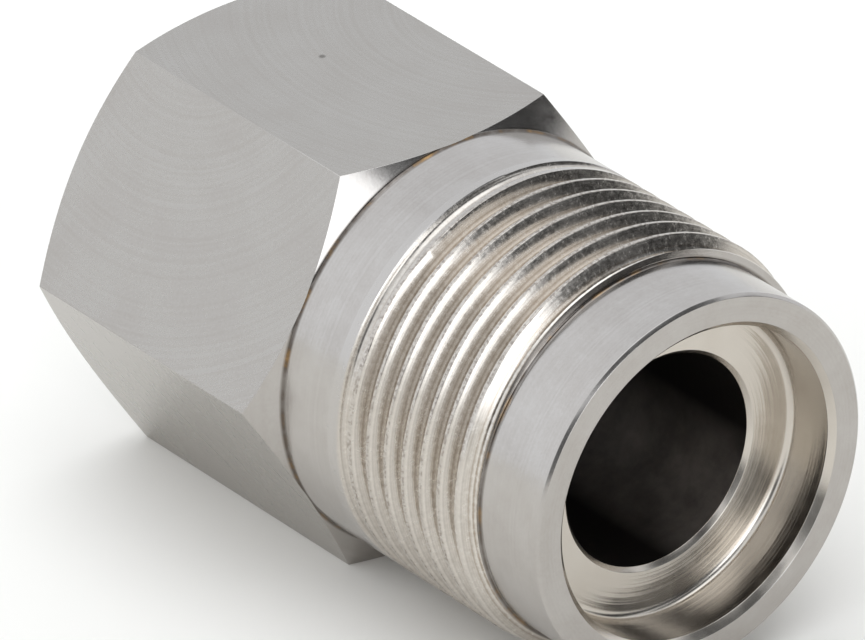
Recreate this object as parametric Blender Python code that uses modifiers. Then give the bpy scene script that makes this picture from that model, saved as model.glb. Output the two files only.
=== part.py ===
"""Hex nipple: one piece, turned and milled from bar.

It lies on one flat of its hexagon. +X runs along the axis towards the nose, +Z is up, and the
origin is under the middle of the part, on the surface it lies on. All sizes are in metres.
"""
import math

import bmesh
import bpy

MM = 0.001

# Hexagon. The round bar stands outside its corners until the flats are milled.
HEX_SIDES = 6
HALF_SIDE = math.pi / HEX_SIDES
ACROSS_FLATS = 24.0 * MM
HEX_LENGTH = 20.0 * MM
HEX_CHAMFER_ANGLE = math.radians(30.0)
HEX_CORNER_CLEARANCE = 0.35 * MM

# Collar and male thread, M24 x 1.5, right hand
THREAD_DIAMETER = 23.9 * MM
THREAD_PITCH = 1.5 * MM
THREAD_DEPTH = 0.58 * THREAD_PITCH
THREAD_CREST_FLAT = THREAD_PITCH / 8
THREAD_HALF_ANGLE = math.radians(30.0)
THREAD_LENGTH = 11.0 * MM
COLLAR_LENGTH = 4.6 * MM
RUNOUT_LENGTH = 2.0 * MM
RUNOUT_OVERLAP = 0.77 * MM
GROOVE_CLEARANCE = 0.1 * MM
LEAD_IN_LENGTH = 1.1 * MM
LEAD_IN_HEIGHT = 0.4 * MM
COLLAR_FILLET = 0.3 * MM

# Nose, in front of the thread and just below its root
NOSE_CLEARANCE = 0.08 * MM
NOSE_LENGTH = 4.8 * MM
NOSE_CHAMFER = 0.22 * MM
NOSE_FILLET = 0.2 * MM

# Counterbore in the nose, and the bore through the part
NOSE_WALL = 1.95 * MM
SEAT_DEPTH = 3.35 * MM
SEAT_FILLET = 0.5 * MM
SEAT_MOUTH_CHAMFER = 0.36 * MM
BORE_DIAMETER = 12.3 * MM
BORE_RIM_CHAMFER = 0.25 * MM
REAR_MOUTH_CHAMFER = 0.8 * MM

# Fineness of the round shapes
SEGMENTS = 60
ARC_STEPS = 4
CUT_MARGIN = 1.0 * MM
MERGE_DISTANCE = 1.0e-6

# Places along the axis
OVERALL_LENGTH = HEX_LENGTH + COLLAR_LENGTH + THREAD_LENGTH + NOSE_LENGTH
NOSE_FACE = OVERALL_LENGTH / 2
THREAD_FRONT = NOSE_FACE - NOSE_LENGTH
THREAD_REAR = THREAD_FRONT - THREAD_LENGTH
HEX_FRONT = THREAD_REAR - COLLAR_LENGTH
REAR_FACE = -OVERALL_LENGTH / 2
SEAT_FLOOR = NOSE_FACE - SEAT_DEPTH

# Radii
COLLAR_RADIUS = THREAD_DIAMETER / 2
NOSE_RADIUS = COLLAR_RADIUS - THREAD_DEPTH - NOSE_CLEARANCE
SEAT_RADIUS = NOSE_RADIUS - NOSE_WALL
BORE_RADIUS = BORE_DIAMETER / 2
HEX_CORNER_RADIUS = ACROSS_FLATS / 2 / math.cos(HALF_SIDE)
BAR_RADIUS = HEX_CORNER_RADIUS + HEX_CORNER_CLEARANCE

NICKEL_GREY = (0.47, 0.44, 0.42, 1.0)
NICKEL_ROUGHNESS = 0.25


def clear_scene():
    for obj in list(bpy.data.objects):
        bpy.data.objects.remove(obj, do_unlink=True)


def new_collection(name):
    collection = bpy.data.collections.new(name)
    bpy.context.scene.collection.children.link(collection)
    return collection


def nickel_steel():
    """Satin nickel plating over steel."""
    material = bpy.data.materials.new("satin_nickel_steel")
    material.use_nodes = True
    shader = material.node_tree.nodes["Principled BSDF"]
    shader.inputs["Base Color"].default_value = NICKEL_GREY
    shader.inputs["Metallic"].default_value = 1.0
    shader.inputs["Roughness"].default_value = NICKEL_ROUGHNESS
    return material


def lay_down(obj):
    """Turn a piece made along local Z so that its axis runs along +X, one apothem up."""
    obj.rotation_euler = (0.0, math.radians(90.0), 0.0)
    obj.location = (0.0, 0.0, ACROSS_FLATS / 2)


def arc(centre_radius, centre_z, radius, start, end):
    """Points of an arc in the profile's plane, from start to end in degrees."""
    points = []
    for step in range(ARC_STEPS + 1):
        angle = math.radians(start + (end - start) * step / ARC_STEPS)
        points.append((centre_radius + radius * math.cos(angle), centre_z + radius * math.sin(angle)))
    return points


def cone_height(radius):
    """How far the hexagon's chamfer has run back from the end face at this radius."""
    return (radius - COLLAR_RADIUS) * math.tan(HEX_CHAMFER_ANGLE)


def collar_fillet():
    """The arc between the collar and the hexagon's chamfer, tangent to both."""
    turn = 90.0 - math.degrees(HEX_CHAMFER_ANGLE)
    tangent = COLLAR_FILLET * math.tan(math.radians(turn / 2))
    return arc(COLLAR_RADIUS + COLLAR_FILLET, HEX_FRONT + tangent, COLLAR_FILLET, 180.0, 180.0 + turn)


def outer_profile():
    """Radius and place along the axis, from the nose face back to the rear face."""
    points = [
        (NOSE_RADIUS - NOSE_CHAMFER, NOSE_FACE),
        (NOSE_RADIUS, NOSE_FACE - NOSE_CHAMFER),
    ]
    points += arc(NOSE_RADIUS + NOSE_FILLET, THREAD_FRONT + NOSE_FILLET, NOSE_FILLET, 180.0, 270.0)
    points += [
        (COLLAR_RADIUS - LEAD_IN_HEIGHT, THREAD_FRONT),
        (COLLAR_RADIUS, THREAD_FRONT - LEAD_IN_LENGTH),
    ]
    points += collar_fillet()
    points += [
        (BAR_RADIUS, HEX_FRONT - cone_height(BAR_RADIUS)),
        (BAR_RADIUS, REAR_FACE + cone_height(BAR_RADIUS)),
        (COLLAR_RADIUS, REAR_FACE),
    ]
    return points


def inner_profile():
    """The bore and the counterbore, from the rear face forward to the nose face."""
    points = [
        (BORE_RADIUS + REAR_MOUTH_CHAMFER, REAR_FACE),
        (BORE_RADIUS, REAR_FACE + REAR_MOUTH_CHAMFER),
        (BORE_RADIUS, SEAT_FLOOR - BORE_RIM_CHAMFER),
        (BORE_RADIUS + BORE_RIM_CHAMFER, SEAT_FLOOR),
    ]
    points += arc(SEAT_RADIUS - SEAT_FILLET, SEAT_FLOOR + SEAT_FILLET, SEAT_FILLET, 270.0, 360.0)
    points += [
        (SEAT_RADIUS, NOSE_FACE - SEAT_MOUTH_CHAMFER),
        (SEAT_RADIUS + SEAT_MOUTH_CHAMFER, NOSE_FACE),
    ]
    return points


def turned(name, profile, collection):
    """A closed profile of (radius, z) points turned once round local Z."""
    mesh = bpy.data.meshes.new(name)
    edges = [(i, (i + 1) % len(profile)) for i in range(len(profile))]
    mesh.from_pydata([(radius, 0.0, z) for radius, z in profile], edges, [])
    obj = bpy.data.objects.new(name, mesh)
    collection.objects.link(obj)
    screw = obj.modifiers.new("turn", "SCREW")
    screw.axis = "Z"
    screw.angle = math.tau
    screw.steps = SEGMENTS
    screw.render_steps = SEGMENTS
    screw.use_merge_vertices = True
    screw.merge_threshold = MERGE_DISTANCE
    return obj


def cutter(obj):
    obj.hide_render = True
    obj.display_type = "WIRE"
    return obj


def mesh_object(name, build, collection):
    """An object whose mesh is filled in by build(bm)."""
    mesh = bpy.data.meshes.new(name)
    bm = bmesh.new()
    build(bm)
    bmesh.ops.recalc_face_normals(bm, faces=bm.faces)
    bm.to_mesh(mesh)
    bm.free()
    obj = bpy.data.objects.new(name, mesh)
    collection.objects.link(obj)
    return obj


def hexagon_sleeve(collection):
    """The stock outside the six flats: a hexagonal block with a hexagonal hole through it."""
    low = REAR_FACE - CUT_MARGIN
    high = HEX_FRONT + COLLAR_FILLET + CUT_MARGIN / 2
    outer = (BAR_RADIUS + CUT_MARGIN) / math.cos(HALF_SIDE)

    def hexagon(bm, radius, z):
        corners = []
        for side in range(HEX_SIDES):
            angle = HALF_SIDE * (2 * side + 1)
            corners.append(bm.verts.new((radius * math.cos(angle), radius * math.sin(angle), z)))
        return corners

    def build(bm):
        loops = []
        for radius, z in (
            (HEX_CORNER_RADIUS, low),
            (outer, low),
            (outer, high),
            (HEX_CORNER_RADIUS, high),
        ):
            loops.append(hexagon(bm, radius, z))
        for here, there in zip(loops, loops[1:] + loops[:1]):
            for i in range(HEX_SIDES):
                j = (i + 1) % HEX_SIDES
                bm.faces.new((here[i], here[j], there[j], there[i]))

    return mesh_object("hexagon_sleeve", build, collection)


def groove_section(z):
    """The thread cutter's section at this place: (radius, z) points of a blunt V.

    The cutter draws out of the work over the run-out, beside the collar.
    """
    lift_start = THREAD_REAR - RUNOUT_OVERLAP
    sunk = min(max((z - lift_start) / RUNOUT_LENGTH, 0.0), 1.0)
    slope = math.tan(THREAD_HALF_ANGLE)
    half_mouth = (THREAD_PITCH - THREAD_CREST_FLAT) / 2
    half_root = half_mouth - THREAD_DEPTH * slope
    height = THREAD_DEPTH + GROOVE_CLEARANCE
    root = COLLAR_RADIUS + GROOVE_CLEARANCE - height * sunk
    half_top = half_root + height * slope
    return [
        (root, z - half_root),
        (root, z + half_root),
        (root + height, z + half_top),
        (root + height, z - half_top),
    ]


def thread_cutter(collection):
    """A blunt V swept along a right-hand helix, from the collar out past the thread's end."""
    start = THREAD_REAR - RUNOUT_OVERLAP
    end = THREAD_FRONT + THREAD_PITCH
    count = round((end - start) / THREAD_PITCH * SEGMENTS)

    def build(bm):
        sections = []
        for step in range(count + 1):
            angle = math.tau * (step + 0.5) / SEGMENTS
            z = start + THREAD_PITCH * step / SEGMENTS
            section = []
            for radius, place in groove_section(z):
                section.append(bm.verts.new((radius * math.cos(angle), radius * math.sin(angle), place)))
            sections.append(section)
        for here, there in zip(sections, sections[1:]):
            for i in range(4):
                j = (i + 1) % 4
                bm.faces.new((here[i], here[j], there[j], there[i]))
        bm.faces.new(sections[0])
        bm.faces.new(sections[-1])

    return mesh_object("thread_cutter", build, collection)


def cut(obj, tool, name):
    lay_down(tool)
    cutter(tool)
    boolean = obj.modifiers.new(name, "BOOLEAN")
    boolean.operation = "DIFFERENCE"
    boolean.solver = "EXACT"
    boolean.object = tool


def nipple_body(parts, cutters):
    """The whole nipple: a turned blank with six flats milled on it and a thread cut on it."""
    body = turned("nipple_body", outer_profile() + inner_profile(), parts)
    lay_down(body)
    cut(body, hexagon_sleeve(cutters), "six_flats")
    cut(body, thread_cutter(cutters), "male_thread")
    body.data.materials.append(nickel_steel())
    return body


def main():
    clear_scene()
    parts = new_collection("hex_nipple")
    cutters = new_collection("cutters")
    nipple_body(parts, cutters)


main()
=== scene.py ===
# %% [markdown]
# # A hex nipple in nickel-plated steel
# The object is one solid piece of bar: a hexagon for the spanner, a plain collar, a fine male
# thread, and a plain nose with a counterbore and a through bore. It lies on one of its flats.
# This lesson makes its visible mesh and its finishes round the CAD frame, which fixes every size.

# %% Load the frame
import math

import bmesh
import bpy
from mathutils import Matrix, Vector


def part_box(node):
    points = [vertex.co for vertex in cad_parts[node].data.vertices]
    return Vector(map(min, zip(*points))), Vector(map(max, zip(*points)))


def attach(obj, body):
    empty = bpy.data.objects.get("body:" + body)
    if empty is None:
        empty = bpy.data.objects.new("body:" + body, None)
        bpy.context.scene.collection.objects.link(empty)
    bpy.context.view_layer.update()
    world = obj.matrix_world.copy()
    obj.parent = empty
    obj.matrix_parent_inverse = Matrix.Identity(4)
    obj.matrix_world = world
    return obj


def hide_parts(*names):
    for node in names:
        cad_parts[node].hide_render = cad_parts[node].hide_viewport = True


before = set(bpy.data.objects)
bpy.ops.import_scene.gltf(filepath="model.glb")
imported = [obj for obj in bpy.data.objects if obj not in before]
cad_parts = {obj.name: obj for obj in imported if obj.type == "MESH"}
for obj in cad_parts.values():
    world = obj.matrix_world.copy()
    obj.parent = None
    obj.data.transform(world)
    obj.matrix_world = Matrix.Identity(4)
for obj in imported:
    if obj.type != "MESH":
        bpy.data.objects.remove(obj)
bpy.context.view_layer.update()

MM = 0.001
low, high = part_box("nipple_body")
print("CAD box, mm:", [round(v / MM, 2) for v in (*low, *high)])

# %% [markdown]
# ## The camera
# A long lens from a little under a metre keeps the shape almost free of perspective. The camera
# looks down at 30 degrees, a little past the nose, so the thread and the counterbore both show.
# It could be placed by hand, but a few angles and distances say the same thing and can be read.

# %% Camera
CAMERA_AZIMUTH = math.radians(52.1)
CAMERA_ELEVATION = math.radians(30.0)
CAMERA_ROLL = math.radians(-1.1)
CAMERA_DISTANCE = 839.2 * MM
CAMERA_LENS = 662.8
CAMERA_SENSOR = 36.0
CAMERA_CLIP = 0.01
CAMERA_AIM = Vector((8.09, -8.21, 19.83)) * MM

back = Vector((
    math.sin(CAMERA_AZIMUTH) * math.cos(CAMERA_ELEVATION),
    -math.cos(CAMERA_AZIMUTH) * math.cos(CAMERA_ELEVATION),
    math.sin(CAMERA_ELEVATION),
))
camera_data = bpy.data.cameras.new("camera")
camera_data.lens = CAMERA_LENS
camera_data.sensor_width = CAMERA_SENSOR
camera_data.clip_start = CAMERA_CLIP
camera = bpy.data.objects.new("camera", camera_data)
bpy.context.scene.collection.objects.link(camera)
aimed = (-back).to_track_quat("-Z", "Y").to_matrix().to_4x4() @ Matrix.Rotation(CAMERA_ROLL, 4, "Z")
camera.matrix_world = Matrix.Translation(CAMERA_AIM + back * CAMERA_DISTANCE) @ aimed
bpy.context.scene.camera = camera
print("camera at, mm:", [round(v / MM, 1) for v in camera.matrix_world.translation])

# %% [markdown]
# ## The sizes
# Places along the axis and radii come from the CAD box and from the drawing of the part. Every
# length is in metres, as in the frame. Small edge breaks are added, because a lathe tool never
# leaves a perfectly sharp corner, and it is the edge break that catches the light.

# %% Sizes of the hexagon
NOSE_FACE = high.x
REAR_FACE = low.x
APOTHEM = (high.z - low.z) / 2
AXIS_HEIGHT = (high.z + low.z) / 2
SIDE_ANGLE = math.radians(60.0)
HALF_SIDE = math.radians(30.0)
CHAMFER_SLOPE = math.tan(math.radians(30.0))
BAR_CLEARANCE = 0.35 * MM
BAR_RADIUS = APOTHEM / math.cos(HALF_SIDE) + BAR_CLEARANCE
print("bar", round(2 * BAR_RADIUS / MM, 2), "mm thick for", round(2 * APOTHEM / MM, 2), "mm across flats")

# %% Sizes of the collar and the thread
THREAD_RADIUS = 11.95 * MM
THREAD_PITCH = 1.5 * MM
THREAD_DEPTH = 0.58 * THREAD_PITCH
CREST_FLAT = THREAD_PITCH / 8
FLANK_SLOPE = math.tan(math.radians(30.0))
COLLAR_LENGTH = 4.6 * MM
COLLAR_FILLET = 0.3 * MM
THREAD_LENGTH = 11.0 * MM
RUNOUT_START = 0.77 * MM
RUNOUT_LENGTH = 2.0 * MM
LEAD_LENGTH = 1.1 * MM
LEAD_HEIGHT = 0.4 * MM
GROOVE_OFFSET = 0.3625 * MM  # from the run-out's start to the groove's middle, where a turn begins

# %% Sizes of the nose and the bore
NOSE_LENGTH = 4.8 * MM
NOSE_RADIUS = 11.0 * MM
NOSE_BEVEL = 0.17 * MM
NOSE_FILLET = 0.2 * MM
SEAT_RADIUS = 9.05 * MM
SEAT_DEPTH = 3.35 * MM
SEAT_BEVEL = 0.36 * MM
SEAT_FILLET = 0.5 * MM
BORE_RADIUS = 6.15 * MM
BORE_BEVEL = 0.25 * MM
REAR_BEVEL = 0.8 * MM
EDGE_BREAK = 0.05 * MM

THREAD_FRONT = NOSE_FACE - NOSE_LENGTH
THREAD_REAR = THREAD_FRONT - THREAD_LENGTH
HEX_FRONT = THREAD_REAR - COLLAR_LENGTH
SEAT_FLOOR = NOSE_FACE - SEAT_DEPTH
GROOVE_START = THREAD_REAR - RUNOUT_START
GROOVE_PLACE = GROOVE_START + GROOVE_OFFSET
print("thread from", round(THREAD_REAR / MM, 2), "to", round(THREAD_FRONT / MM, 2), "mm along X")

# %% [markdown]
# ## The profile
# A turned part is one outline, half of its section, carried round the axis. The outline is a
# list of stations: how far along the axis, how far out, and which finish the strip to the next
# station has. Typing every point of every fillet would be dull and easy to get wrong, so a
# helper rounds each corner of a coarse outline by the radius that is asked for.

# %% Rounded corners
ARC_STEPS = 5
TURNED, MILLED, THREADED, SEAT, BORE = range(5)


def rounded(corners):
    """Stations from (place, radius, rounding, finish) corners, each rounded by its own radius."""
    stations = []
    for i, (place, radius, rounding, finish) in enumerate(corners):
        here = Vector((place, radius))
        before = Vector(corners[i - 1][:2])
        after = Vector(corners[(i + 1) % len(corners)][:2])
        if rounding == 0.0:
            stations.append((place, radius, finish))
            continue
        to_before = (before - here).normalized()
        to_after = (after - here).normalized()
        half = to_before.angle(to_after) / 2
        centre = here + (to_before + to_after).normalized() * rounding / math.sin(half)
        start = here + to_before * rounding / math.tan(half) - centre
        sweep = start.angle_signed(here + to_after * rounding / math.tan(half) - centre)
        for step in range(ARC_STEPS + 1):
            spoke = start.copy()
            spoke.rotate(Matrix.Rotation(-sweep * step / ARC_STEPS, 2))
            stations.append((centre.x + spoke.x, centre.y + spoke.y, finish))
    return stations


print("a rounded corner has", ARC_STEPS + 1, "stations")

# %% [markdown]
# ## Rows for the thread
# The rows of the thread follow the helix, so each one stays on the same part of the groove all
# the way round: on the crest, on a flank or in the root. They stand close together where the
# groove bends and far apart on the straight flanks. A straight grid would need many more rows
# and would still leave the crests with a saw edge. The bends are shares of a pitch from the
# middle of the groove, and the same ones are used on its other side.

# %% Thread rows
GROOVE_BENDS = (
    0.0, 0.05, 0.1, 0.14, 0.17, 0.2, 0.215,
    0.395, 0.41, 0.425, 0.438, 0.45, 0.462, 0.475, 0.5,
)


def thread_rows():
    """Stations of the helical rows at the start of the turn, from the front of the thread back."""
    rear = GROOVE_START - THREAD_PITCH
    phases = sorted(set(GROOVE_BENDS) | {1.0 - bend for bend in GROOVE_BENDS if bend > 0.0})
    first = math.floor((rear - GROOVE_PLACE) / THREAD_PITCH)
    last = math.ceil((THREAD_FRONT - GROOVE_PLACE) / THREAD_PITCH)
    places = [THREAD_FRONT, rear]
    for turn in range(first, last + 1):
        for phase in phases:
            place = GROOVE_PLACE + THREAD_PITCH * (turn + phase)
            if rear < place < THREAD_FRONT:
                places.append(place)
    places.sort(reverse=True)
    finishes = [THREADED] * (len(places) - 1) + [TURNED]
    return [(place, THREAD_RADIUS, finish) for place, finish in zip(places, finishes)]


rows = thread_rows()
print(len(rows), "rows carry the thread")

# %% [markdown]
# ## The whole outline
# It runs from the nose face along the outside to the rear, and back through the bore. The bar
# stands a little outside the hexagon: the flats are cut from it in a later step, which is what
# leaves the curved edges at both ends of a real hexagon. The thread's rows go in at the shoulder
# behind the nose.

# %% Outline
BAR_RUN = (BAR_RADIUS - THREAD_RADIUS) * CHAMFER_SLOPE
SHOULDER = (THREAD_FRONT, THREAD_RADIUS - LEAD_HEIGHT)
plain_stations = rounded([
    (NOSE_FACE, SEAT_RADIUS + SEAT_BEVEL, EDGE_BREAK, TURNED),
    (NOSE_FACE, NOSE_RADIUS - NOSE_BEVEL, EDGE_BREAK, TURNED),
    (NOSE_FACE - NOSE_BEVEL, NOSE_RADIUS, EDGE_BREAK, TURNED),
    (THREAD_FRONT, NOSE_RADIUS, NOSE_FILLET, TURNED),
    (*SHOULDER, 0.0, TURNED),
    (HEX_FRONT, THREAD_RADIUS, COLLAR_FILLET, TURNED),
    (HEX_FRONT - BAR_RUN, BAR_RADIUS, 0.0, MILLED),
    (REAR_FACE + BAR_RUN, BAR_RADIUS, 0.0, TURNED),
    (REAR_FACE, THREAD_RADIUS, EDGE_BREAK, TURNED),
    (REAR_FACE, BORE_RADIUS + REAR_BEVEL, EDGE_BREAK, TURNED),
    (REAR_FACE + REAR_BEVEL, BORE_RADIUS, EDGE_BREAK, BORE),
    (SEAT_FLOOR - BORE_BEVEL, BORE_RADIUS, EDGE_BREAK, SEAT),
    (SEAT_FLOOR, BORE_RADIUS + BORE_BEVEL, EDGE_BREAK, SEAT),
    (SEAT_FLOOR, SEAT_RADIUS, SEAT_FILLET, SEAT),
    (NOSE_FACE - SEAT_BEVEL, SEAT_RADIUS, EDGE_BREAK, SEAT),
])
shoulder = [station[:2] for station in plain_stations].index(SHOULDER)
stations = plain_stations[:shoulder] + rows + plain_stations[shoulder + 1:]
stations.append(stations[0])
print(len(stations), "stations in the outline")

# %% [markdown]
# ## The outline as a mesh
# Geometry Nodes read the outline as a chain of points. Two attributes travel with it: whether a
# station belongs to the thread, and the number of its finish.

# %% Outline mesh
outline_mesh = bpy.data.meshes.new("outline")
outline_mesh.from_pydata([(place, 0.0, radius) for place, radius, _ in stations], [], [])
marks = {
    "threaded": [float(0 <= i - shoulder < len(rows)) for i in range(len(stations))],
    "finish": [float(finish) for _, _, finish in stations],
}
for name, values in marks.items():
    outline_mesh.attributes.new(name, "FLOAT", "POINT").data.foreach_set("value", values)
outline = bpy.data.objects.new("outline", outline_mesh)
bpy.context.scene.collection.objects.link(outline)
print("outline mesh:", len(outline_mesh.vertices), "points, with", list(marks))

# %% [markdown]
# ## One function for nodes
# A node tree written as script is mostly the same few lines: make a node, set its properties,
# fill its inputs. One small function does that for every kind of node, so each tree below reads
# as a list of steps. Values go in by the order of the inputs, or by name or number. The part that
# fills the inputs stands alone, because it also serves a node that is there already, such as a
# material's shader.

# %% Node helper


def fill(tree, node, inputs):
    """Give a node's inputs values, or links from other nodes and sockets."""
    for key, value in inputs.items():
        if isinstance(value, bpy.types.Node):
            value = value.outputs[0]
        if isinstance(value, bpy.types.NodeSocket):
            tree.links.new(value, node.inputs[key])
        else:
            node.inputs[key].default_value = value


def add(tree, kind, *values, inputs=None, **settings):
    """Add a node, set its properties, and give its inputs values or links."""
    node = tree.nodes.new(kind)
    for name, value in settings.items():
        setattr(node, name, value)
    fill(tree, node, {i: value for i, value in enumerate(values) if value is not None})
    fill(tree, node, inputs or {})
    return node


print("node helpers:", fill.__name__, "and", add.__name__)

# %% [markdown]
# ## Colours
# Colours are easiest to read as the hex codes that a paint chart would give, but shaders work in
# linear light. One function turns the first into the second, by the sRGB standard's own formula.

# %% Colour helper


def linear(code):
    """An sRGB hex colour as the linear colour that shaders expect."""
    channels = [int(code[i:i + 2], 16) / 255 for i in (1, 3, 5)]
    return tuple(c / 12.92 if c <= 0.04045 else ((c + 0.055) / 1.055) ** 2.4 for c in channels) + (1.0,)


print("mid grey, #808080, is", round(linear("#808080")[0], 3), "in linear light")

# %% [markdown]
# ## Cylindrical coordinates for the finishes
# Tool marks follow the axis, not the X, Y and Z of the room, so every finish starts from the
# same three numbers: the place along the axis, the distance from it and the angle round it. They
# are worked out from Object coordinates, which stay with the piece from every side. Clouds and
# grain have no direction, so they read the Object coordinates as they are. A second small
# function makes the empty material that each finish starts from.

# %% Coordinates round the axis


def round_the_axis(tree):
    """Sockets for the point itself, its place along the axis, its radius and its angle."""
    point = add(tree, "ShaderNodeTexCoord").outputs["Object"]
    centred = add(tree, "ShaderNodeVectorMath", point, (0.0, 0.0, AXIS_HEIGHT), operation="SUBTRACT")
    parts = add(tree, "ShaderNodeSeparateXYZ", centred)
    across = add(tree, "ShaderNodeCombineXYZ", 0.0, parts.outputs["Y"], parts.outputs["Z"])
    radius = add(tree, "ShaderNodeVectorMath", across, operation="LENGTH")
    angle = add(tree, "ShaderNodeMath", parts.outputs["Z"], parts.outputs["Y"], operation="ARCTAN2")
    return point, parts.outputs["X"], radius.outputs["Value"], angle.outputs[0]


def blank_material(name):
    """A material, its node tree and its Principled shader."""
    material = bpy.data.materials.new(name)
    material.use_nodes = True
    return material, material.node_tree, material.node_tree.nodes["Principled BSDF"]


print("finishes run round an axis at height", round(AXIS_HEIGHT / MM, 2), "mm")

# %% [markdown]
# ## Painted shade in the corners
# A line of painted shade and painted reflection lies in the two inside corners, in front of the
# hexagon and behind the nose, where the small fillets would show it. It is nearly black where it is
# thick and amber where it is thin. It could be a thin ring of its own, but it has no thickness to
# speak of, so it is a colour that depends on the distance from the corner.

# %% Painted shade in the corners
SHADED_CORNERS = ((THREAD_FRONT, NOSE_RADIUS), (HEX_FRONT, THREAD_RADIUS))
CORNER_SHADE_REACH = (0.08 * MM, 0.24 * MM)
CORNER_SHADE_PATCH = 2.2 * MM
# Dark and amber ends of the line of painted shade and reflection in the corners.
CORNER_SHADE_DARK = "#3A2D20"
CORNER_SHADE_AMBER = "#9A7A50"


def painted_corner_shade(tree, point, along, radius):
    """How much painted shade and reflection there is in the two inside corners of the outline, and its
    colour.
    """
    patches = add(tree, "ShaderNodeTexNoise", point,
                  inputs={"Scale": 1.0 / CORNER_SHADE_PATCH, "Detail": 5.0, "Roughness": 0.65})
    here = add(tree, "ShaderNodeCombineXYZ", along, radius, 0.0)
    total = 0.0
    for place, corner_radius in SHADED_CORNERS:
        distance = add(tree, "ShaderNodeVectorMath", here, (place, corner_radius, 0.0),
                       operation="DISTANCE")
        near = add(tree, "ShaderNodeMapRange", distance.outputs["Value"], *CORNER_SHADE_REACH, 1.0, 0.0)
        total = add(tree, "ShaderNodeMath", near, total, operation="ADD")
    patchy = add(tree, "ShaderNodeMapRange", patches.outputs["Fac"], 0.35, 0.6, 0.6, 0.95)
    amount = add(tree, "ShaderNodeMath", total, patchy, operation="MULTIPLY", use_clamp=True)
    amber_share = add(tree, "ShaderNodeMapRange", patches.outputs["Fac"], 0.52, 0.7, 0.0, 1.0)
    colour = add(tree, "ShaderNodeMix", data_type="RGBA",
                 inputs={0: amber_share, 6: linear(CORNER_SHADE_DARK), 7: linear(CORNER_SHADE_AMBER)})
    return amount, colour.outputs[2]


print("grime in", len(SHADED_CORNERS), "corners, out to", round(CORNER_SHADE_REACH[1] / MM, 2), "mm")

# %% [markdown]
# ## Turned nickel
# The collar, the nose and the end faces were turned and then plated with satin nickel. Nickel is
# a slightly warm grey metal. Turning leaves rings that the plating softens, so the eye sees
# reflections drawn out across the rings. The feed of a finishing cut is about 0.1 mm; the rings
# here are drawn about twice as coarse, because finer ones would not show. Rings could be an
# image, but a one-dimensional noise along the outline gives them on cylinders and faces alike.
# The grain of the satin plating is finer too, and is drawn at 0.16 mm for the same reason.

# %% Turned nickel
NICKEL = "#B7B3AF"
NICKEL_WARM = "#ADA8A3"
RING_SPACING = 0.2 * MM
GRAIN_SIZE = 0.16 * MM
TURNED_CLOUD = 2.5 * MM
MOTTLE_RANGE = (0.38, 0.62)
TURNED_ROUGHNESS = (0.15, 0.25)
TURNED_BUMP = 0.005 * MM


def turned_nickel():
    """Satin nickel over turned steel, with rings across the outline and painted shade and reflection in its
    corners.
    """
    material, tree, shader = blank_material("turned_satin_nickel")
    point, along, radius, _ = round_the_axis(tree)
    outline_place = add(tree, "ShaderNodeMath", along, radius, operation="ADD")
    rings = add(tree, "ShaderNodeTexNoise", noise_dimensions="1D",
                inputs={"W": outline_place, "Scale": 1.0 / RING_SPACING, "Detail": 3.0, "Roughness": 0.6})
    cloud = add(tree, "ShaderNodeTexNoise", point,
                inputs={"Scale": 1.0 / TURNED_CLOUD, "Detail": 4.0, "Roughness": 0.65})
    grain = add(tree, "ShaderNodeTexNoise", point, inputs={"Scale": 1.0 / GRAIN_SIZE, "Detail": 2.0})
    marks = add(tree, "ShaderNodeMix", 0.45, inputs={2: rings.outputs["Fac"], 3: grain.outputs["Fac"]})
    mottle = add(tree, "ShaderNodeMix", 0.45, inputs={2: cloud.outputs["Fac"], 3: marks})
    share = add(tree, "ShaderNodeMapRange", mottle, *MOTTLE_RANGE, 0.0, 1.0)
    tone = add(tree, "ShaderNodeMix", data_type="RGBA",
               inputs={0: share, 6: linear(NICKEL_WARM), 7: linear(NICKEL)})
    # Painted shade and reflection: a dark to amber line painted into the two inside corners.
    corner_shade, corner_shade_colour = painted_corner_shade(tree, point, along, radius)
    with_corner_shade = add(tree, "ShaderNodeMix", data_type="RGBA",
                inputs={0: corner_shade, 6: tone.outputs[2], 7: corner_shade_colour})
    gloss = add(tree, "ShaderNodeMapRange", mottle, 0.3, 0.7, *TURNED_ROUGHNESS)
    bump = add(tree, "ShaderNodeBump", inputs={"Strength": 0.6, "Distance": TURNED_BUMP, "Height": marks})
    fill(tree, shader, {"Base Color": with_corner_shade.outputs[2], "Metallic": 1.0, "Roughness": gloss, "Normal": bump})
    return material


FINISHES = [turned_nickel()]
print("made", FINISHES[-1].name)

# %% [markdown]
# ## Milled nickel
# The six flats were face milled, which leaves very fine arcs that cross the flat, and the flats
# show small dark specks where the plating missed a pore. The arcs are rings round a point far
# outside each flat. Each flat is folded onto one, with its own centre, so no two look the same.
# The cutter's marks stand about 0.1 mm apart, and are drawn at 0.3 mm so that they show.

# %% Milled nickel
MILLED_DARK = "#A5A09A"
MILLED_LIGHT = "#ACA8A3"
PORE_DARK = "#5A5550"
FLAT_ARC_SPACING = 0.3 * MM
FLAT_ARC_CENTRE = 13.0 * MM
FLAT_ARC_SHIFT = 6.0 * MM
MILLED_CLOUD = 4.0 * MM
PORE_SPACING = 5.0 * MM
PORE_EDGE = (0.025, 0.05)
MILLED_ROUGHNESS = (0.2, 0.32)
MILLED_BUMP = 0.004 * MM


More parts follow.
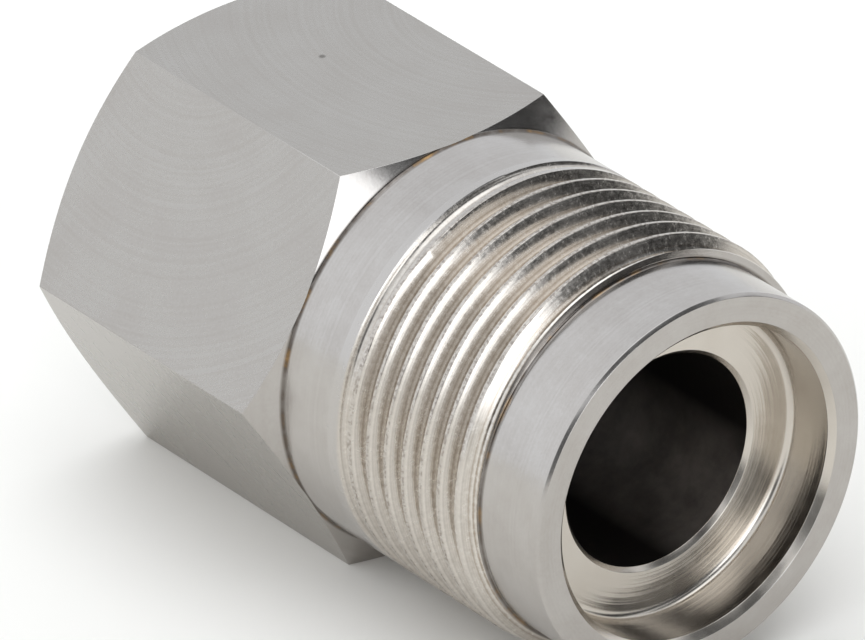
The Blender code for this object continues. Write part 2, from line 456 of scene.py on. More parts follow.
def milled_nickel():
    """Satin nickel over face milled steel, with fine arcs and a few pores."""
    material, tree, shader = blank_material("milled_satin_nickel")
    point, along, radius, angle = round_the_axis(tree)
    sixth = add(tree, "ShaderNodeMath", angle, SIDE_ANGLE, operation="FLOORED_MODULO")
    fold = add(tree, "ShaderNodeMath", sixth, HALF_SIDE, operation="SUBTRACT")
    sine = add(tree, "ShaderNodeMath", fold, operation="SINE")
    across = add(tree, "ShaderNodeMath", radius, sine, operation="MULTIPLY")
    side = add(tree, "ShaderNodeMath", angle, fold, operation="SUBTRACT")
    shift = add(tree, "ShaderNodeMath", side, FLAT_ARC_SHIFT, operation="MULTIPLY")
    along_shifted = add(tree, "ShaderNodeMath", along, shift, operation="ADD")
    across_shifted = add(tree, "ShaderNodeMath", across, FLAT_ARC_CENTRE, operation="ADD")
    spoke = add(tree, "ShaderNodeCombineXYZ", along_shifted, across_shifted, 0.0)
    reach = add(tree, "ShaderNodeVectorMath", spoke, operation="LENGTH")
    arcs = add(tree, "ShaderNodeTexNoise", noise_dimensions="1D",
               inputs={"W": reach.outputs["Value"], "Scale": 1.0 / FLAT_ARC_SPACING, "Detail": 3.0})
    cloud = add(tree, "ShaderNodeTexNoise", point,
                inputs={"Scale": 1.0 / MILLED_CLOUD, "Detail": 5.0, "Roughness": 0.6})
    grain = add(tree, "ShaderNodeTexNoise", point, inputs={"Scale": 1.0 / GRAIN_SIZE, "Detail": 2.0})
    marks = add(tree, "ShaderNodeMix", 0.5, inputs={2: arcs.outputs["Fac"], 3: grain.outputs["Fac"]})
    mottle = add(tree, "ShaderNodeMix", 0.6, inputs={2: cloud.outputs["Fac"], 3: marks})
    share = add(tree, "ShaderNodeMapRange", mottle, *MOTTLE_RANGE, 0.0, 1.0)
    tone = add(tree, "ShaderNodeMix", data_type="RGBA",
               inputs={0: share, 6: linear(MILLED_DARK), 7: linear(MILLED_LIGHT)})
    pores = add(tree, "ShaderNodeTexVoronoi", point, inputs={"Scale": 1.0 / PORE_SPACING})
    pore_mask = add(tree, "ShaderNodeMapRange", pores.outputs["Distance"], *PORE_EDGE, 0.7, 0.0)
    specked = add(tree, "ShaderNodeMix", data_type="RGBA",
                  inputs={0: pore_mask, 6: tone.outputs[2], 7: linear(PORE_DARK)})
    gloss = add(tree, "ShaderNodeMapRange", mottle, 0.3, 0.7, *MILLED_ROUGHNESS)
    bump = add(tree, "ShaderNodeBump", inputs={"Strength": 0.6, "Distance": MILLED_BUMP, "Height": marks})
    fill(tree, shader, {"Base Color": specked.outputs[2], "Metallic": 1.0, "Roughness": gloss,
                        "Normal": bump})
    return material


FINISHES.append(milled_nickel())
print("made", FINISHES[-1].name)

# %% [markdown]
# ## Threaded nickel
# The thread was cut with a single point. Its flanks are bright, the colour gets darker towards
# the roots, in patches, and its crests are slightly torn. Depth below the crest is known from the
# radius, so the darkening is a colour that follows the radius. Where the cutter has drawn out,
# beside the collar, the surface is still the turned one, so it takes the collar's colour.

# %% Threaded nickel
FLANK_DARK = "#B5AEA6"
FLANK_LIGHT = "#D2CCC4"
DARKER_ROOT_TONE = "#9C8E7E"
TORN_DARK = "#9A928A"
FLANK_GRAIN = 0.3 * MM
FLANK_STREAK = 0.14 * MM
DARKENING_DEPTH = 0.25 * MM
CREST_BAND = (0.07 * MM, 0.02 * MM)
TEAR_COLOUR_SIZE = 0.22 * MM
RUNOUT_FADE = (1.3 * MM, 1.7 * MM)
THREAD_ROUGHNESS = (0.14, 0.3)
THREAD_BUMP = 0.007 * MM


def flank_colour(tree, radius, worn):
    """Bright flanks, and a colour that gets darker towards the root."""
    light_share = add(tree, "ShaderNodeMapRange", worn, 0.35, 0.65, 0.0, 1.0)
    bright = add(tree, "ShaderNodeMix", data_type="RGBA",
                 inputs={0: light_share, 6: linear(FLANK_DARK), 7: linear(FLANK_LIGHT)})
    # Darker towards the root of the groove, in patches, by depth below the crest.
    sunk = add(tree, "ShaderNodeMapRange", radius, THREAD_RADIUS - THREAD_DEPTH, THREAD_RADIUS - DARKENING_DEPTH,
               1.0, 0.0)
    spread = add(tree, "ShaderNodeMapRange", worn, 0.35, 0.6, 1.0, 0.0)
    root_darkening = add(tree, "ShaderNodeMath", sunk, spread, operation="MULTIPLY")
    return add(tree, "ShaderNodeMix", data_type="RGBA",
               inputs={0: root_darkening, 6: bright.outputs[2], 7: linear(DARKER_ROOT_TONE)})


def crest_colour(tree, point, along, radius, tone):
    """The colour given, with torn crests, and the collar's nickel on the uncut run-out."""
    crest = add(tree, "ShaderNodeMapRange", radius, *(THREAD_RADIUS - depth for depth in CREST_BAND),
                0.0, 1.0)
    tears = add(tree, "ShaderNodeTexNoise", point,
                inputs={"Scale": 1.0 / TEAR_COLOUR_SIZE, "Detail": 3.0, "Roughness": 0.7})
    torn = add(tree, "ShaderNodeMapRange", tears.outputs["Fac"], 0.4, 0.52, 1.0, 0.0)
    past_runout = add(tree, "ShaderNodeMapRange", along, *(GROOVE_START + fade for fade in RUNOUT_FADE),
                      0.0, 1.0)
    torn_there = add(tree, "ShaderNodeMath", torn, past_runout, operation="MULTIPLY")
    torn_crest = add(tree, "ShaderNodeMath", crest, torn_there, operation="MULTIPLY")
    marked = add(tree, "ShaderNodeMix", data_type="RGBA",
                 inputs={0: torn_crest, 6: tone.outputs[2], 7: linear(TORN_DARK)})
    in_runout = add(tree, "ShaderNodeMath", 1.0, past_runout, operation="SUBTRACT")
    uncut = add(tree, "ShaderNodeMath", crest, in_runout, operation="MULTIPLY")
    return add(tree, "ShaderNodeMix", data_type="RGBA",
               inputs={0: uncut, 6: marked.outputs[2], 7: linear(NICKEL)})


def threaded_nickel():
    """Thin nickel over a single point thread."""
    material, tree, shader = blank_material("cut_thread_nickel")
    point, along, radius, _ = round_the_axis(tree)
    grain = add(tree, "ShaderNodeTexNoise", point,
                inputs={"Scale": 1.0 / FLANK_GRAIN, "Detail": 4.0, "Roughness": 0.7})
    streaks = add(tree, "ShaderNodeTexNoise", noise_dimensions="1D",
                  inputs={"W": radius, "Scale": 1.0 / FLANK_STREAK, "Detail": 1.0})
    worn = add(tree, "ShaderNodeMix", 0.5, inputs={2: streaks.outputs["Fac"], 3: grain.outputs["Fac"]})
    tone = flank_colour(tree, radius, worn)
    colour = crest_colour(tree, point, along, radius, tone)
    gloss = add(tree, "ShaderNodeMapRange", grain.outputs["Fac"], 0.3, 0.7, *THREAD_ROUGHNESS)
    bump = add(tree, "ShaderNodeBump", inputs={"Strength": 0.7, "Distance": THREAD_BUMP, "Height": worn})
    fill(tree, shader, {"Base Color": colour.outputs[2], "Metallic": 1.0, "Roughness": gloss,
                        "Normal": bump})
    return material


FINISHES.append(threaded_nickel())
print("made", FINISHES[-1].name)

# %% [markdown]
# ## The counterbore
# Inside the nose the plating is thin and yellower, and the boring tool left clear rings on the
# floor, 0.35 mm apart. Light that gets in bounces several times and picks up warmth each time.

# %% Counterbore nickel
BORED_WARM = "#BCB4AA"
BORED_LIGHT = "#D2CCC3"
BORED_RING_SPACING = 0.35 * MM
BORED_CLOUD = 2.0 * MM
BORED_ROUGHNESS = (0.17, 0.27)
BORED_BUMP = 0.012 * MM


def bored_nickel():
    """Thin nickel over bored steel, with clear rings."""
    material, tree, shader = blank_material("bored_thin_nickel")
    point, along, radius, _ = round_the_axis(tree)
    outline_place = add(tree, "ShaderNodeMath", along, radius, operation="SUBTRACT")
    rings = add(tree, "ShaderNodeTexNoise", noise_dimensions="1D",
                inputs={"W": outline_place, "Scale": 1.0 / BORED_RING_SPACING, "Detail": 3.0,
                        "Roughness": 0.6})
    cloud = add(tree, "ShaderNodeTexNoise", point,
                inputs={"Scale": 1.0 / BORED_CLOUD, "Detail": 4.0, "Roughness": 0.6})
    tone = add(tree, "ShaderNodeMix", data_type="RGBA",
               inputs={0: cloud.outputs["Fac"], 6: linear(BORED_WARM), 7: linear(BORED_LIGHT)})
    gloss = add(tree, "ShaderNodeMapRange", cloud.outputs["Fac"], 0.3, 0.7, *BORED_ROUGHNESS)
    bump = add(tree, "ShaderNodeBump",
               inputs={"Strength": 1.0, "Distance": BORED_BUMP, "Height": rings.outputs["Fac"]})
    fill(tree, shader, {"Base Color": tone.outputs[2], "Metallic": 1.0, "Roughness": gloss, "Normal": bump})
    return material


FINISHES.append(bored_nickel())
print("made", FINISHES[-1].name)

# %% [markdown]
# ## The bore
# Plating hardly reaches the inside of a narrow hole. The drilled wall is bare steel with a dark
# film of oxide and oil, which drinks most of the light and keeps a dull gleam along the hole.
# The film makes it half way between a metal and a varnish, so its metallic value is under one.
# The oil has drained from one side of the hole, which leaves a paler band along it. Opposite that,
# near the mouth, is a light bloom of rust, partly a real stain and partly painted light: it is made
# pale so that the counterbore's wall shows a brighter reflection of it. Drill marks stand 0.4 mm apart.

# %% Bore wall
OIL_DARK = "#1F1C1A"
STEEL_BARE = "#A39A92"
PALE_RUST_FOR_BOUNCE = "#D8B48E"
BORE_BAND_ANGLE = math.radians(-45.0)
BORE_CLOUD = 2.5 * MM
DRILL_SPACING = 0.4 * MM
PALE_RUST_DEPTH = (7.0 * MM, 2.0 * MM)
BORE_METALLIC = 0.6
BORE_ROUGHNESS = 0.45
BORE_BUMP = 0.01 * MM


def oiled_bore():
    """Drilled bare steel under a film of oil, with a pale band, and a bloom of rust that is also painted
    light for the counterbore's reflection.
    """
    material, tree, shader = blank_material("drilled_oiled_steel")
    point, along, _, angle = round_the_axis(tree)
    cloud = add(tree, "ShaderNodeTexNoise", point,
                inputs={"Scale": 1.0 / BORE_CLOUD, "Detail": 5.0, "Roughness": 0.65})
    from_band = add(tree, "ShaderNodeMath", angle, BORE_BAND_ANGLE, operation="SUBTRACT")
    band = add(tree, "ShaderNodeMath", from_band, operation="COSINE")
    in_band = add(tree, "ShaderNodeMapRange", band, 0.75, 1.0, 0.0, 1.0)
    share = add(tree, "ShaderNodeMath", cloud.outputs["Fac"], in_band, operation="MULTIPLY")
    tone = add(tree, "ShaderNodeMix", data_type="RGBA",
               inputs={0: share, 6: linear(OIL_DARK), 7: linear(STEEL_BARE)})
    # Rust on the hidden side near the mouth, made pale so the counterbore wall reflects it brighter: a real
    # stain and painted light.
    opposite = add(tree, "ShaderNodeMapRange", band, -0.1, -0.8, 0.0, 1.0)
    near_mouth = add(tree, "ShaderNodeMapRange", along, *(SEAT_FLOOR - depth for depth in PALE_RUST_DEPTH),
                     0.0, 1.0)
    pale_rust_share = add(tree, "ShaderNodeMath", opposite, near_mouth, operation="MULTIPLY")
    film = add(tree, "ShaderNodeMix", data_type="RGBA",
               inputs={0: pale_rust_share, 6: tone.outputs[2], 7: linear(PALE_RUST_FOR_BOUNCE)})
    marks = add(tree, "ShaderNodeTexNoise", noise_dimensions="1D",
                inputs={"W": along, "Scale": 1.0 / DRILL_SPACING, "Detail": 3.0})
    bump = add(tree, "ShaderNodeBump",
               inputs={"Strength": 0.5, "Distance": BORE_BUMP, "Height": marks.outputs["Fac"]})
    fill(tree, shader, {"Base Color": film.outputs[2], "Metallic": BORE_METALLIC,
                        "Roughness": BORE_ROUGHNESS, "Normal": bump})
    return material


FINISHES.append(oiled_bore())
print("finishes:", [material.name for material in FINISHES])

# %% [markdown]
# ## The nipple as a rule
# Each of the three machining steps is a rule for where a point goes, so Geometry Nodes can make
# the whole piece from a flat sheet. One side of the sheet counts the turn round the axis, the
# other counts the stations. Turning bends the sheet into a tube, milling moves every point
# beyond a flat back onto it, and threading shears the rows along the helix and sinks them into
# the groove. Booleans would give the same solid, but with long thin faces that spoil the
# reflections of a polished metal. First come the tree and its named inputs.

# %% Tree and inputs
TURN_STEPS = 240
SIZES = {
    "Apothem": APOTHEM,
    "Bar radius at collar": THREAD_RADIUS,
    "Hexagon front": HEX_FRONT,
    "Hexagon rear": REAR_FACE,
    "Chamfer slope": CHAMFER_SLOPE,
    "Collar fillet": COLLAR_FILLET,
    "Thread pitch": THREAD_PITCH,
    "Thread depth": THREAD_DEPTH,
    "Thread front": THREAD_FRONT,
    "Crest flat": CREST_FLAT,
    "Flank slope": FLANK_SLOPE,
    "Root rounding": 0.25 * MM,
    "Crest rounding": 0.06 * MM,
    "Groove start": GROOVE_START,
    "Groove place": GROOVE_PLACE,
    "Run-out length": RUNOUT_LENGTH,
    "Lead-in length": LEAD_LENGTH,
    "Lead-in height": LEAD_HEIGHT,
    "Crest burr": 0.014 * MM,
    "Axis height": AXIS_HEIGHT,
}
COUNTS = {"Turn steps": TURN_STEPS, "Stations": len(stations)}

tree = bpy.data.node_groups.new("turn_mill_and_thread", "GeometryNodeTree")
tree.interface.new_socket("Outline", in_out="INPUT", socket_type="NodeSocketGeometry")
identifiers = {}
for kind, names in (("NodeSocketFloat", SIZES), ("NodeSocketInt", COUNTS)):
    for name in names:
        socket = tree.interface.new_socket(name, in_out="INPUT", socket_type=kind)
        identifiers[name] = socket.identifier
tree.interface.new_socket("Nipple", in_out="OUTPUT", socket_type="NodeSocketGeometry")
given = add(tree, "NodeGroupInput").outputs
print(len(identifiers), "named inputs")

# %% [markdown]
# ## The sheet
# The sheet is a grid of one by one. A point's X on it is how much of a turn it has gone, and its
# Y is which station it belongs to. The outline is looked up at that station.

# %% Sheet and outline lookup
around = add(tree, "ShaderNodeMath", given["Turn steps"], 1.0, operation="ADD")
sheet = add(tree, "GeometryNodeMeshGrid", 1.0, 1.0, around, given["Stations"])
position = add(tree, "GeometryNodeInputPosition")
sheet_place = add(tree, "ShaderNodeSeparateXYZ", position)
turn = add(tree, "ShaderNodeMath", sheet_place.outputs["X"], 0.5, operation="ADD")
last_station = add(tree, "ShaderNodeMath", given["Stations"], 1.0, operation="SUBTRACT")
share = add(tree, "ShaderNodeMath", sheet_place.outputs["Y"], 0.5, operation="ADD")
station_place = add(tree, "ShaderNodeMath", share, last_station, operation="MULTIPLY")
station = add(tree, "ShaderNodeMath", station_place, operation="ROUND")
looked_up = add(tree, "GeometryNodeSampleIndex", given["Outline"], position,
                data_type="FLOAT_VECTOR", inputs={"Index": station})
outline_point = add(tree, "ShaderNodeSeparateXYZ", looked_up)
thread_mark = add(tree, "GeometryNodeInputNamedAttribute", "threaded", data_type="FLOAT")
in_thread = add(tree, "GeometryNodeSampleIndex", given["Outline"], thread_mark,
                data_type="FLOAT", inputs={"Index": station})
angle = add(tree, "ShaderNodeMath", turn, math.tau, operation="MULTIPLY")
print("sheet of", TURN_STEPS, "by", len(stations) - 1, "faces")

# %% [markdown]
# ## Milling the flats
# At any angle the nearest flat is `apothem / cos(angle from its middle)` away. A point beyond it
# comes in to that distance, and slides along the outline to where the outline crosses the flat:
# on the 30 degree chamfer, or near the middle of a flat on the small fillet beside the collar.

# %% Reach of the flats
sixth = add(tree, "ShaderNodeMath", angle, SIDE_ANGLE, operation="FLOORED_MODULO")
fold = add(tree, "ShaderNodeMath", sixth, HALF_SIDE, operation="SUBTRACT")
fold_cosine = add(tree, "ShaderNodeMath", fold, operation="COSINE")
flat_reach = add(tree, "ShaderNodeMath", given["Apothem"], fold_cosine, operation="DIVIDE")
rise = add(tree, "ShaderNodeMath", flat_reach, given["Bar radius at collar"], operation="SUBTRACT")
run = add(tree, "ShaderNodeMath", rise, given["Chamfer slope"], operation="MULTIPLY")
rear_edge = add(tree, "ShaderNodeMath", given["Hexagon rear"], run, operation="ADD")
cone_edge = add(tree, "ShaderNodeMath", given["Hexagon front"], run, operation="SUBTRACT")
print("flats reach from", round(APOTHEM / MM, 2), "to", round(APOTHEM / math.cos(HALF_SIDE) / MM, 2), "mm")

# %% Flats against the collar's fillet
to_centre = add(tree, "ShaderNodeMath", given["Collar fillet"], rise, operation="SUBTRACT")
fillet_square = add(tree, "ShaderNodeMath", given["Collar fillet"], 2.0, operation="POWER")
centre_square = add(tree, "ShaderNodeMath", to_centre, 2.0, operation="POWER")
drop_square = add(tree, "ShaderNodeMath", fillet_square, centre_square, operation="SUBTRACT")
drop = add(tree, "ShaderNodeMath", drop_square, operation="SQRT")
fillet_centre = add(tree, "ShaderNodeMath", given["Collar fillet"], CHAMFER_SLOPE,
                    given["Hexagon front"], operation="MULTIPLY_ADD")
fillet_edge = add(tree, "ShaderNodeMath", fillet_centre, drop, operation="SUBTRACT")
half_fillet = add(tree, "ShaderNodeMath", given["Collar fillet"], 0.5, operation="MULTIPLY")
on_cone = add(tree, "FunctionNodeCompare", rise, half_fillet, operation="GREATER_THAN")
front_edge = add(tree, "GeometryNodeSwitch", on_cone, fillet_edge, cone_edge, input_type="FLOAT")
print("fillet of", round(COLLAR_FILLET / MM, 2), "mm between collar and flats")

# %% Milled points
hex_ends = add(tree, "ShaderNodeMath", given["Hexagon front"], given["Hexagon rear"], operation="ADD")
hex_middle = add(tree, "ShaderNodeMath", hex_ends, 0.5, operation="MULTIPLY")
outline_x = outline_point.outputs["X"]
outline_radius = outline_point.outputs["Z"]
in_front = add(tree, "FunctionNodeCompare", outline_x, hex_middle, operation="GREATER_THAN")
edge = add(tree, "GeometryNodeSwitch", in_front, rear_edge, front_edge, input_type="FLOAT")
beyond = add(tree, "FunctionNodeCompare", outline_radius, flat_reach, operation="GREATER_THAN")
milled_place = add(tree, "GeometryNodeSwitch", beyond, outline_x, edge, input_type="FLOAT")
milled_radius = add(tree, "ShaderNodeMath", outline_radius, flat_reach, operation="MINIMUM")
print("hexagon", round((HEX_FRONT - REAR_FACE) / MM, 2), "mm long")

# %% [markdown]
# ## Cutting the thread
# A row moves forward by one pitch in a turn, and stops at both ends of the thread. How deep the
# groove is at a point depends on how far it is from the middle of the groove: nothing on the
# crest, then a straight flank, then a rounded root. Beside the collar the tool draws out of the
# work, and at the nose a cone trims the first crests so that a nut starts easily.

# %% Distance from the groove
sheared = add(tree, "ShaderNodeMath", turn, given["Thread pitch"], outline_x, operation="MULTIPLY_ADD")
held_back = add(tree, "ShaderNodeMath", sheared, given["Groove start"], operation="MAXIMUM")
place = add(tree, "ShaderNodeMath", held_back, given["Thread front"], operation="MINIMUM")
from_groove = add(tree, "ShaderNodeMath", place, given["Groove place"], operation="SUBTRACT")
pitches = add(tree, "ShaderNodeMath", from_groove, given["Thread pitch"], operation="DIVIDE")
phase = add(tree, "ShaderNodeMath", pitches, turn, operation="SUBTRACT")
nearest = add(tree, "ShaderNodeMath", phase, operation="ROUND")
offset = add(tree, "ShaderNodeMath", phase, nearest, operation="SUBTRACT")
off = add(tree, "ShaderNodeMath", offset, operation="ABSOLUTE")
distance = add(tree, "ShaderNodeMath", off, given["Thread pitch"], operation="MULTIPLY")
print("pitch", round(THREAD_PITCH / MM, 2), "mm, depth", round(THREAD_DEPTH / MM, 2), "mm")

# %% Groove, run-out and lead-in
mouth = add(tree, "ShaderNodeMath", given["Thread pitch"], given["Crest flat"], operation="SUBTRACT")
half_mouth = add(tree, "ShaderNodeMath", mouth, 0.5, operation="MULTIPLY")
inside = add(tree, "ShaderNodeMath", half_mouth, distance, operation="SUBTRACT")
flank = add(tree, "ShaderNodeMath", inside, given["Flank slope"], operation="DIVIDE")
rooted = add(tree, "ShaderNodeMath", flank, given["Thread depth"], given["Root rounding"],
             operation="SMOOTH_MIN")
into_runout = add(tree, "ShaderNodeMath", place, given["Groove start"], operation="SUBTRACT")
fed_in = add(tree, "ShaderNodeMath", into_runout, given["Run-out length"], operation="DIVIDE",
             use_clamp=True)
lifted = add(tree, "ShaderNodeMath", 1.0, fed_in, operation="SUBTRACT")
lift = add(tree, "ShaderNodeMath", lifted, given["Thread depth"], operation="MULTIPLY")
lowered = add(tree, "ShaderNodeMath", rooted, lift, operation="SUBTRACT")
groove = add(tree, "ShaderNodeMath", lowered, 0.0, given["Crest rounding"], operation="SMOOTH_MAX")
crest = add(tree, "ShaderNodeMath", given["Bar radius at collar"], groove, operation="SUBTRACT")
lead_from = add(tree, "ShaderNodeMath", given["Thread front"], given["Lead-in length"],
                operation="SUBTRACT")
into_lead = add(tree, "ShaderNodeMath", place, lead_from, operation="SUBTRACT")
lead_slope = add(tree, "ShaderNodeMath", given["Lead-in height"], given["Lead-in length"],
                 operation="DIVIDE")
lead_drop = add(tree, "ShaderNodeMath", into_lead, lead_slope, operation="MULTIPLY")
lead_cone = add(tree, "ShaderNodeMath", given["Bar radius at collar"], lead_drop, operation="SUBTRACT")
trimmed = add(tree, "ShaderNodeMath", crest, lead_cone, operation="MINIMUM")
print("run-out", round(RUNOUT_LENGTH / MM, 2), "mm, lead-in", round(LEAD_LENGTH / MM, 2), "mm")

# %% [markdown]
# ## Torn crests
# A single point tool tears the very top of a soft steel thread a little. A fine noise, with no
# seed to vary, raises and lowers the crests by less than a hundredth of a millimetre. It fades
# out down the flank and on the uncut surface of the run-out.

# %% Crest burr
TEAR_SIZE = 0.45 * MM
TEAR_DOWN_FLANK = 0.12 * MM
TEAR_EDGE_BAND = (-0.2 * MM, -0.02 * MM)
cosine = add(tree, "ShaderNodeMath", angle, operation="COSINE")
sine = add(tree, "ShaderNodeMath", angle, operation="SINE")
smooth_y = add(tree, "ShaderNodeMath", trimmed, cosine, operation="MULTIPLY")
smooth_z = add(tree, "ShaderNodeMath", trimmed, sine, operation="MULTIPLY")
smooth_point = add(tree, "ShaderNodeCombineXYZ", place, smooth_y, smooth_z)
tear = add(tree, "ShaderNodeTexNoise", smooth_point, inputs={"Scale": 1.0 / TEAR_SIZE, "Detail": 2.0})
tear_centred = add(tree, "ShaderNodeMath", tear.outputs[0], 0.5, operation="SUBTRACT")
above_flank = add(tree, "ShaderNodeMapRange", groove, 0.0, TEAR_DOWN_FLANK, 1.0, 0.0)
by_the_edge = add(tree, "ShaderNodeMapRange", lowered, *TEAR_EDGE_BAND, 0.0, 1.0)
on_crest = add(tree, "ShaderNodeMath", above_flank, by_the_edge, operation="MULTIPLY")
tear_height = add(tree, "ShaderNodeMath", tear_centred, given["Crest burr"], operation="MULTIPLY")
tear_kept = add(tree, "ShaderNodeMath", tear_height, on_crest, operation="MULTIPLY")
torn = add(tree, "ShaderNodeMath", trimmed, tear_kept, operation="ADD")
print("crests torn by up to", round(SIZES["Crest burr"] / 2 / MM, 3), "mm each way")

# %% [markdown]
# ## Bending the sheet
# Thread rows take the thread's place and radius, all others the milled ones. Sine and cosine
# carry the radius round the axis. The two long edges and the two short edges of the sheet now
# lie on each other, and merging them closes the piece. Each face takes the finish of the station
# that it starts from.

# %% Bend, close, and name the finishes
MERGE_DISTANCE = 0.001 * MM
final_place = add(tree, "ShaderNodeMix", in_thread, inputs={2: milled_place, 3: place})
final_radius = add(tree, "ShaderNodeMix", in_thread, inputs={2: milled_radius, 3: torn})
final_y = add(tree, "ShaderNodeMath", final_radius, cosine, operation="MULTIPLY")
final_z = add(tree, "ShaderNodeMath", final_radius, sine, given["Axis height"], operation="MULTIPLY_ADD")
final_point = add(tree, "ShaderNodeCombineXYZ", final_place, final_y, final_z)
strip = add(tree, "ShaderNodeMath", station_place, operation="FLOOR")
finish_mark = add(tree, "GeometryNodeInputNamedAttribute", "finish", data_type="FLOAT")
strip_finish = add(tree, "GeometryNodeSampleIndex", given["Outline"], finish_mark,
                   data_type="FLOAT", inputs={"Index": strip})
marked = add(tree, "GeometryNodeStoreNamedAttribute", sheet, data_type="FLOAT", domain="FACE",
             inputs={"Name": "finish", "Value": strip_finish})
bent = add(tree, "GeometryNodeSetPosition", marked, inputs={"Position": final_point})
closed = add(tree, "GeometryNodeMergeByDistance", bent, inputs={"Distance": MERGE_DISTANCE})
piece = add(tree, "GeometryNodeRealizeInstances", closed)
for number, material in enumerate(FINISHES):
    chosen = add(tree, "FunctionNodeCompare", finish_mark, float(number), operation="EQUAL",
                 inputs={"Epsilon": 0.1})
    piece = add(tree, "GeometryNodeSetMaterial", piece, chosen, material)
add(tree, "NodeGroupOutput", piece)
print(len(tree.nodes), "nodes in the tree")

# %% [markdown]
# ## From the tree to a plain mesh
# The modifier gets its inputs by the identifier of each socket. The evaluated result becomes a
# plain mesh, because a finished piece has to stand on its own. Cleaning merges what still lies
# together, drops faces with no area and turns all normals out.

# %% Plain mesh
modifier = outline.modifiers.new("turn_mill_and_thread", "NODES")
modifier.node_group = tree
for name, value in {**SIZES, **COUNTS}.items():
    modifier[identifiers[name]] = value
evaluated = outline.evaluated_get(bpy.context.evaluated_depsgraph_get())
mesh = bpy.data.meshes.new_from_object(evaluated)
bpy.data.objects.remove(outline)
mesh.name = "hex_nipple"
while None in list(mesh.materials):
    mesh.materials.pop(index=list(mesh.materials).index(None))
nipple = bpy.data.objects.new("hex_nipple", mesh)
bpy.context.scene.collection.objects.link(nipple)
print("faces from the tree:", len(mesh.polygons))

# %% Clean mesh
WELD_DISTANCE = 0.002 * MM
NO_LENGTH = 0.001 * MM
bm = bmesh.new()
bm.from_mesh(mesh)
bmesh.ops.remove_doubles(bm, verts=bm.verts, dist=WELD_DISTANCE)
bmesh.ops.dissolve_degenerate(bm, edges=bm.edges, dist=NO_LENGTH)
bmesh.ops.recalc_face_normals(bm, faces=bm.faces)
print("open edges:", sum(not e.is_manifold for e in bm.edges), "volume, mm3:",
      round(bm.calc_volume(signed=True) / MM ** 3))

# %% [markdown]
# ## Sharp and smooth edges
# Curved surfaces are shaded smooth, and only true corners stay sharp. The rim of every flat is
# kept sharp too, where it meets the collar at almost no angle, or the flat would look dented
# there. The corners of the hexagon get a very small chamfer, the trace of a deburring file.

# %% Filed corners
FILED = 0.05 * MM
FILED_ANGLE = math.radians(40.0)
SURFACE_TOLERANCE = 0.01 * MM
FILED_WELD = 0.0005 * MM
filed_edges = [
    e for e in bm.edges
    if e.is_manifold and e.calc_face_angle() > FILED_ANGLE
    and all(v.co.x < HEX_FRONT for v in e.verts)
    and all(math.hypot(v.co.y, v.co.z - AXIS_HEIGHT) > APOTHEM - SURFACE_TOLERANCE for v in e.verts)
]
bmesh.ops.bevel(bm, geom=filed_edges, offset=FILED, offset_type="WIDTH", segments=1, profile=0.5,
                affect="EDGES", clamp_overlap=True)
bmesh.ops.remove_doubles(bm, verts=bm.verts, dist=FILED_WELD)
print("filed edges:", len(filed_edges), "open edges:", sum(not e.is_manifold for e in bm.edges))

# %% Shading
SHARP_ANGLE = math.radians(24.0)
for e in bm.edges:
    on_flats = {f.material_index == MILLED for f in e.link_faces}
    e.smooth = len(on_flats) == 1 and e.calc_face_angle() < SHARP_ANGLE
for f in bm.faces:
    f.smooth = True
bm.to_mesh(mesh)
bm.free()
mesh.attributes.remove(mesh.attributes["finish"])
mesh.calc_loop_triangles()
print("triangles:", len(mesh.loop_triangles), "materials:", [m.name for m in mesh.materials])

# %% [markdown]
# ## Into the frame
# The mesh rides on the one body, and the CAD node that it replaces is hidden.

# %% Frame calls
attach(nipple, "root")
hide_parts("nipple_body")
print("in the frame:", nipple.name)

# %% [markdown]
# ## Floor
# A plain pale matt surface, wide enough to fill every view. It shows in the underside of the
# metal, so its paleness is part of the finish.

# %% Floor
FLOOR_HALF = 6.0
FLOOR_HEIGHT = -0.01 * MM
FLOOR_COLOUR = "#F6F3ED"
floor_mesh = bpy.data.meshes.new("floor")
floor_mesh.from_pydata(
    [(x * FLOOR_HALF, y * FLOOR_HALF, FLOOR_HEIGHT) for x, y in ((-1, -1), (1, -1), (1, 1), (-1, 1))],
    [], [(0, 1, 2, 3)],
)
floor = bpy.data.objects.new("floor", floor_mesh)
bpy.context.scene.collection.objects.link(floor)
floor_material, floor_tree, floor_shader = blank_material("pale_matt_floor")
fill(floor_tree, floor_shader,
     {"Base Color": linear(FLOOR_COLOUR), "Roughness": 0.9, "Specular IOR Level": 0.1})
floor_mesh.materials.append(floor_material)
print("floor", 2 * FLOOR_HALF, "m wide")

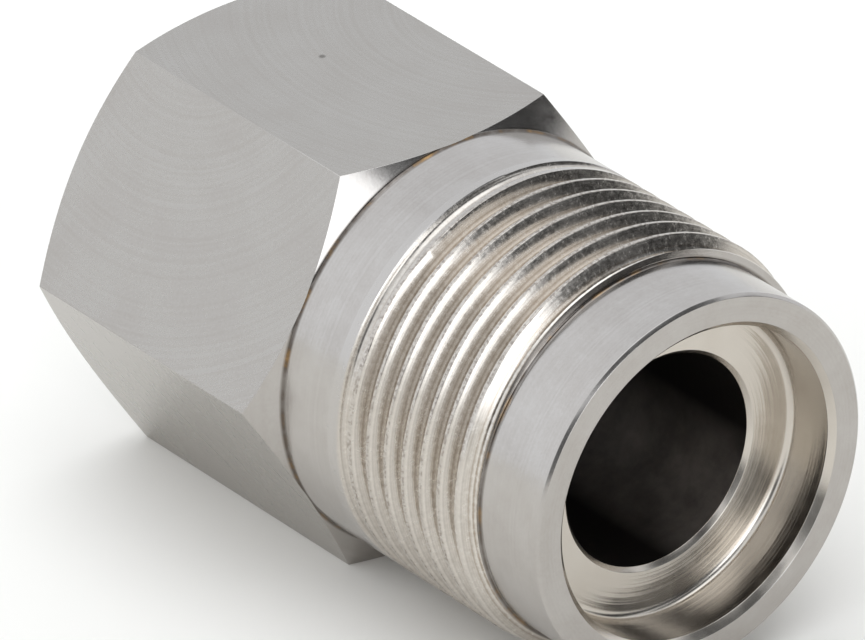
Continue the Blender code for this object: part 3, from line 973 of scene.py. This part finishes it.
# %% [markdown]
# ## Light
# Bright metal shows the room more than itself. The room here is an even white tent with a
# brighter wall, a bright ceiling, one bright panel in front of the nose, and dark gaps beside
# and above it. They could be lamps and cards, but a world whose brightness depends on direction
# gives the same reflections with no noise. Each panel is a soft-edged window in compass angle
# and height, in degrees, and a later one covers an earlier one. The Standard view transform
# keeps the metal's greys as bright as they are, where the default would flatten them.

# %% Studio tent
TENT = 1.12
TENT_COLOUR = "#F6FAFF"
PANELS = [  # name, compass angle from and to, height from and to, softness, brightness
    ("bright left wall", -170.0, -95.0, -5.0, 60.0, 25.0, 1.3),
    ("ceiling", -200.0, 200.0, 62.0, 95.0, 6.0, 2.1),
    ("bright front panel", -18.0, 7.5, -2.0, 31.0, 1.5, 3.2),
    ("dark gap beside it", 9.5, 36.0, -3.0, 31.0, 1.5, 0.06),
    ("lower part of that gap", 36.0, 70.0, -3.0, 24.5, 2.5, 0.05),
    ("dark gap above it", -29.0, 60.0, 34.0, 54.0, 2.0, 0.1),
    ("dark gap to the left", -55.0, -26.0, -4.0, 28.0, 2.0, 0.16),
]
TO_DEGREES = 180.0 / math.pi

world = bpy.data.worlds.new("studio_tent")
bpy.context.scene.world = world
world.use_nodes = True
sky = world.node_tree
direction = add(sky, "ShaderNodeSeparateXYZ", add(sky, "ShaderNodeTexCoord").outputs["Generated"])
heading = add(sky, "ShaderNodeMath", direction.outputs["Y"], direction.outputs["X"], operation="ARCTAN2")
compass = add(sky, "ShaderNodeMath", heading, TO_DEGREES, operation="MULTIPLY")
height = add(sky, "ShaderNodeMath", direction.outputs["Z"], operation="ARCSINE")
steepness = add(sky, "ShaderNodeMath", height, TO_DEGREES, operation="MULTIPLY")
light = TENT
for name, left, right, bottom, top, soft, level in PANELS:
    window = 1.0
    for measured, near, far in ((compass, left, right), (steepness, bottom, top)):
        for limit, below, above in ((near, 0.0, 1.0), (far, 1.0, 0.0)):
            mask = add(sky, "ShaderNodeMapRange", measured, limit - soft, limit + soft, below, above,
                       interpolation_type="SMOOTHSTEP")
            window = add(sky, "ShaderNodeMath", window, mask, operation="MULTIPLY")
    light = add(sky, "ShaderNodeMix", window, label=name, inputs={2: light, 3: level})
fill(sky, sky.nodes["Background"], {"Strength": light, "Color": linear(TENT_COLOUR)})
bpy.context.scene.view_settings.view_transform = "Standard"
print(len(PANELS), "panels in the tent")
